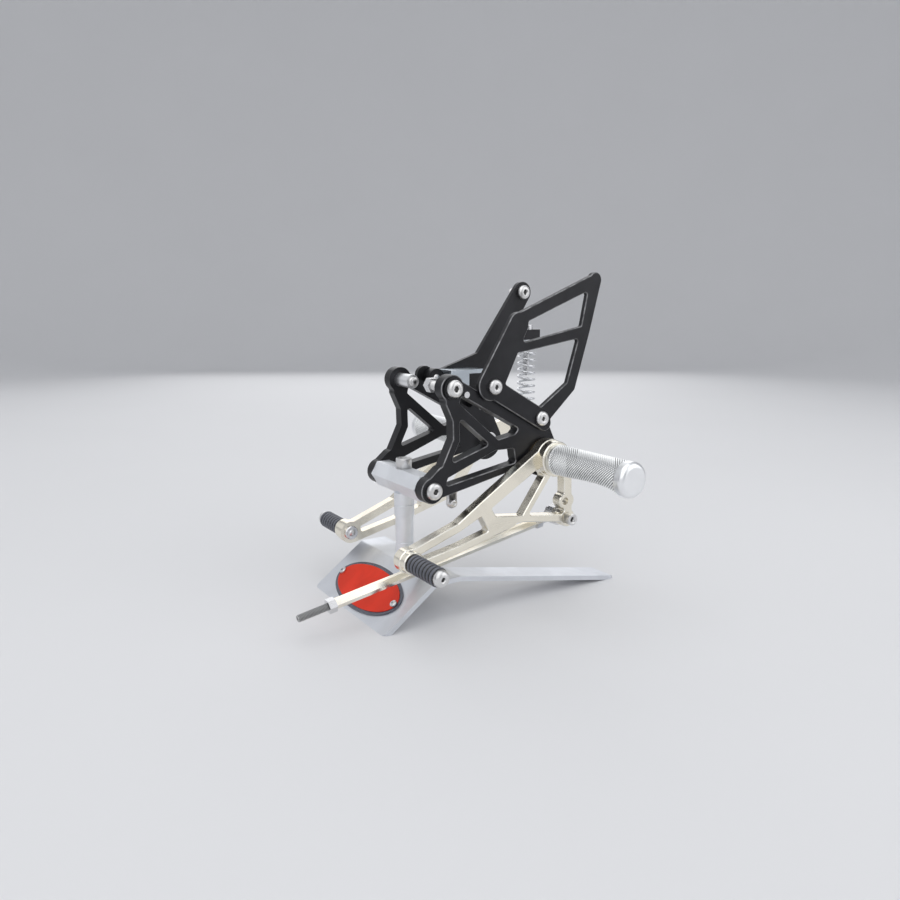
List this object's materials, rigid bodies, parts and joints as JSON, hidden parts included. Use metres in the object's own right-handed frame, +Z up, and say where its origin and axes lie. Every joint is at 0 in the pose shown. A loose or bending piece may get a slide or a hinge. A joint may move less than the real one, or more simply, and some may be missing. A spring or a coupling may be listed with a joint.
{
  "type": "motorcycle rear set",
  "caption": "Motorcycle rear-set foot controls: truss plates with knurled pegs, shift and brake levers, toe pegs and heel guards, held by a hexagon bar on a folded sheet stand.",
  "frame": {"origin": "on the floor, at the middle of the set's box seen from above", "axes": "+X to the rear of the motorcycle, +Y to the brake side, +Z up"},
  "size_m": [0.2914, 0.3046, 0.269],
  "materials": {
    "black_anodised": "satin black anodised",
    "champagne_anodised": "champagne anodised, milled",
    "bright_aluminium": "bright turned and knurled",
    "satin_aluminium": "satin turned",
    "sheet_aluminium": "polished folded sheet",
    "stainless": "bright stainless",
    "zinc": "bright zinc",
    "bronze": "plain bronze",
    "black_rubber": "ribbed",
    "spring_steel": "drawn wire",
    "dark_rim": "dark enamel",
    "red_enamel": "gloss enamel"
  },
  "bodies": {
    "stand_and_plates": {"shift_mount_plate": "black_anodised", "shift_frame_bolt": "stainless", "shift_frame_washer": "black_anodised", "shift_bar_bolt": "stainless", "shift_pivot_sleeve": "stainless", "shift_thrust_washer": "bronze", "shift_footpeg": "bright_aluminium", "shift_peg_end_cap": "bright_aluminium", "shift_peg_bolt": "stainless", "shift_guard": "black_anodised", "shift_guard_bolts": "stainless", "brake_mount_plate": "black_anodised", "brake_frame_bolt": "stainless", "brake_frame_washer": "black_anodised", "brake_bar_bolt": "stainless", "brake_pivot_sleeve": "stainless", "brake_thrust_washer": "bronze", "brake_footpeg": "bright_aluminium", "brake_peg_end_cap": "bright_aluminium", "brake_peg_bolt": "stainless", "brake_guard": "black_anodised", "brake_guard_bolts": "stainless", "shift_frame_nut": "stainless", "shift_dowel": "stainless", "shift_clip_screw": "stainless", "brake_frame_sleeve": "bright_aluminium", "brake_cylinder_bolt": "stainless", "brake_return_spring": "spring_steel", "brake_spring_seat": "satin_aluminium", "brake_guide_pin": "stainless", "brake_hose_bracket": "zinc", "base_sheet": "sheet_aluminium", "plaque": "dark_rim", "plaque_face": "red_enamel", "plaque_screws": "stainless", "post": "satin_aluminium", "cross_bar": "satin_aluminium", "post_bolt": "stainless", "post_foot_screw": "stainless"},
    "shift_lever_body": {"shift_lever": "champagne_anodised", "shift_lever_bush": "bronze", "shift_toe_spool": "stainless", "shift_toe_rubber": "black_rubber", "shift_toe_screw": "stainless", "shift_toe_nut": "stainless", "rod_end_ball": "stainless", "rod_end_spacer": "satin_aluminium", "rod_end_bolt": "stainless", "rod_end_nut": "stainless"},
    "tie_rod_body": {"tie_rod": "champagne_anodised", "tie_rod_stud": "stainless", "tie_rod_nuts": "champagne_anodised", "rod_end": "stainless"},
    "brake_lever_body": {"brake_lever": "champagne_anodised", "brake_lever_bush": "bronze", "brake_toe_spool": "stainless", "brake_toe_rubber": "black_rubber", "brake_toe_screw": "stainless", "brake_toe_nut": "stainless", "brake_spring_cup": "satin_aluminium"}
  },
  "joints": [
    {"name": "shift_lever_swing", "type": "hinge", "parent": "stand_and_plates", "child": "shift_lever_body", "pos_m": [0.07575, -0.0535, 0.11754], "axis": [0, 1, 0], "range_deg": [-5, 10]},
    {"name": "tie_rod_swivel", "type": "hinge", "parent": "shift_lever_body", "child": "tie_rod_body", "pos_m": [0.09575, -0.042, 0.06254], "axis": [0, 1, 0], "range_deg": [-9.5, 5]},
    {"name": "brake_lever_press", "type": "hinge", "parent": "stand_and_plates", "child": "brake_lever_body", "pos_m": [0.07575, 0.0535, 0.11754], "axis": [0, -1, 0], "range_deg": [0, 3], "stiffness_Nm_per_rad": 2, "springref_deg": -14.32, "deforming": ["brake_return_spring"]}
  ],
  "couplings": [
    {"joint": "tie_rod_swivel", "follows": "shift_lever_swing", "ratio": -0.9}
  ]
}
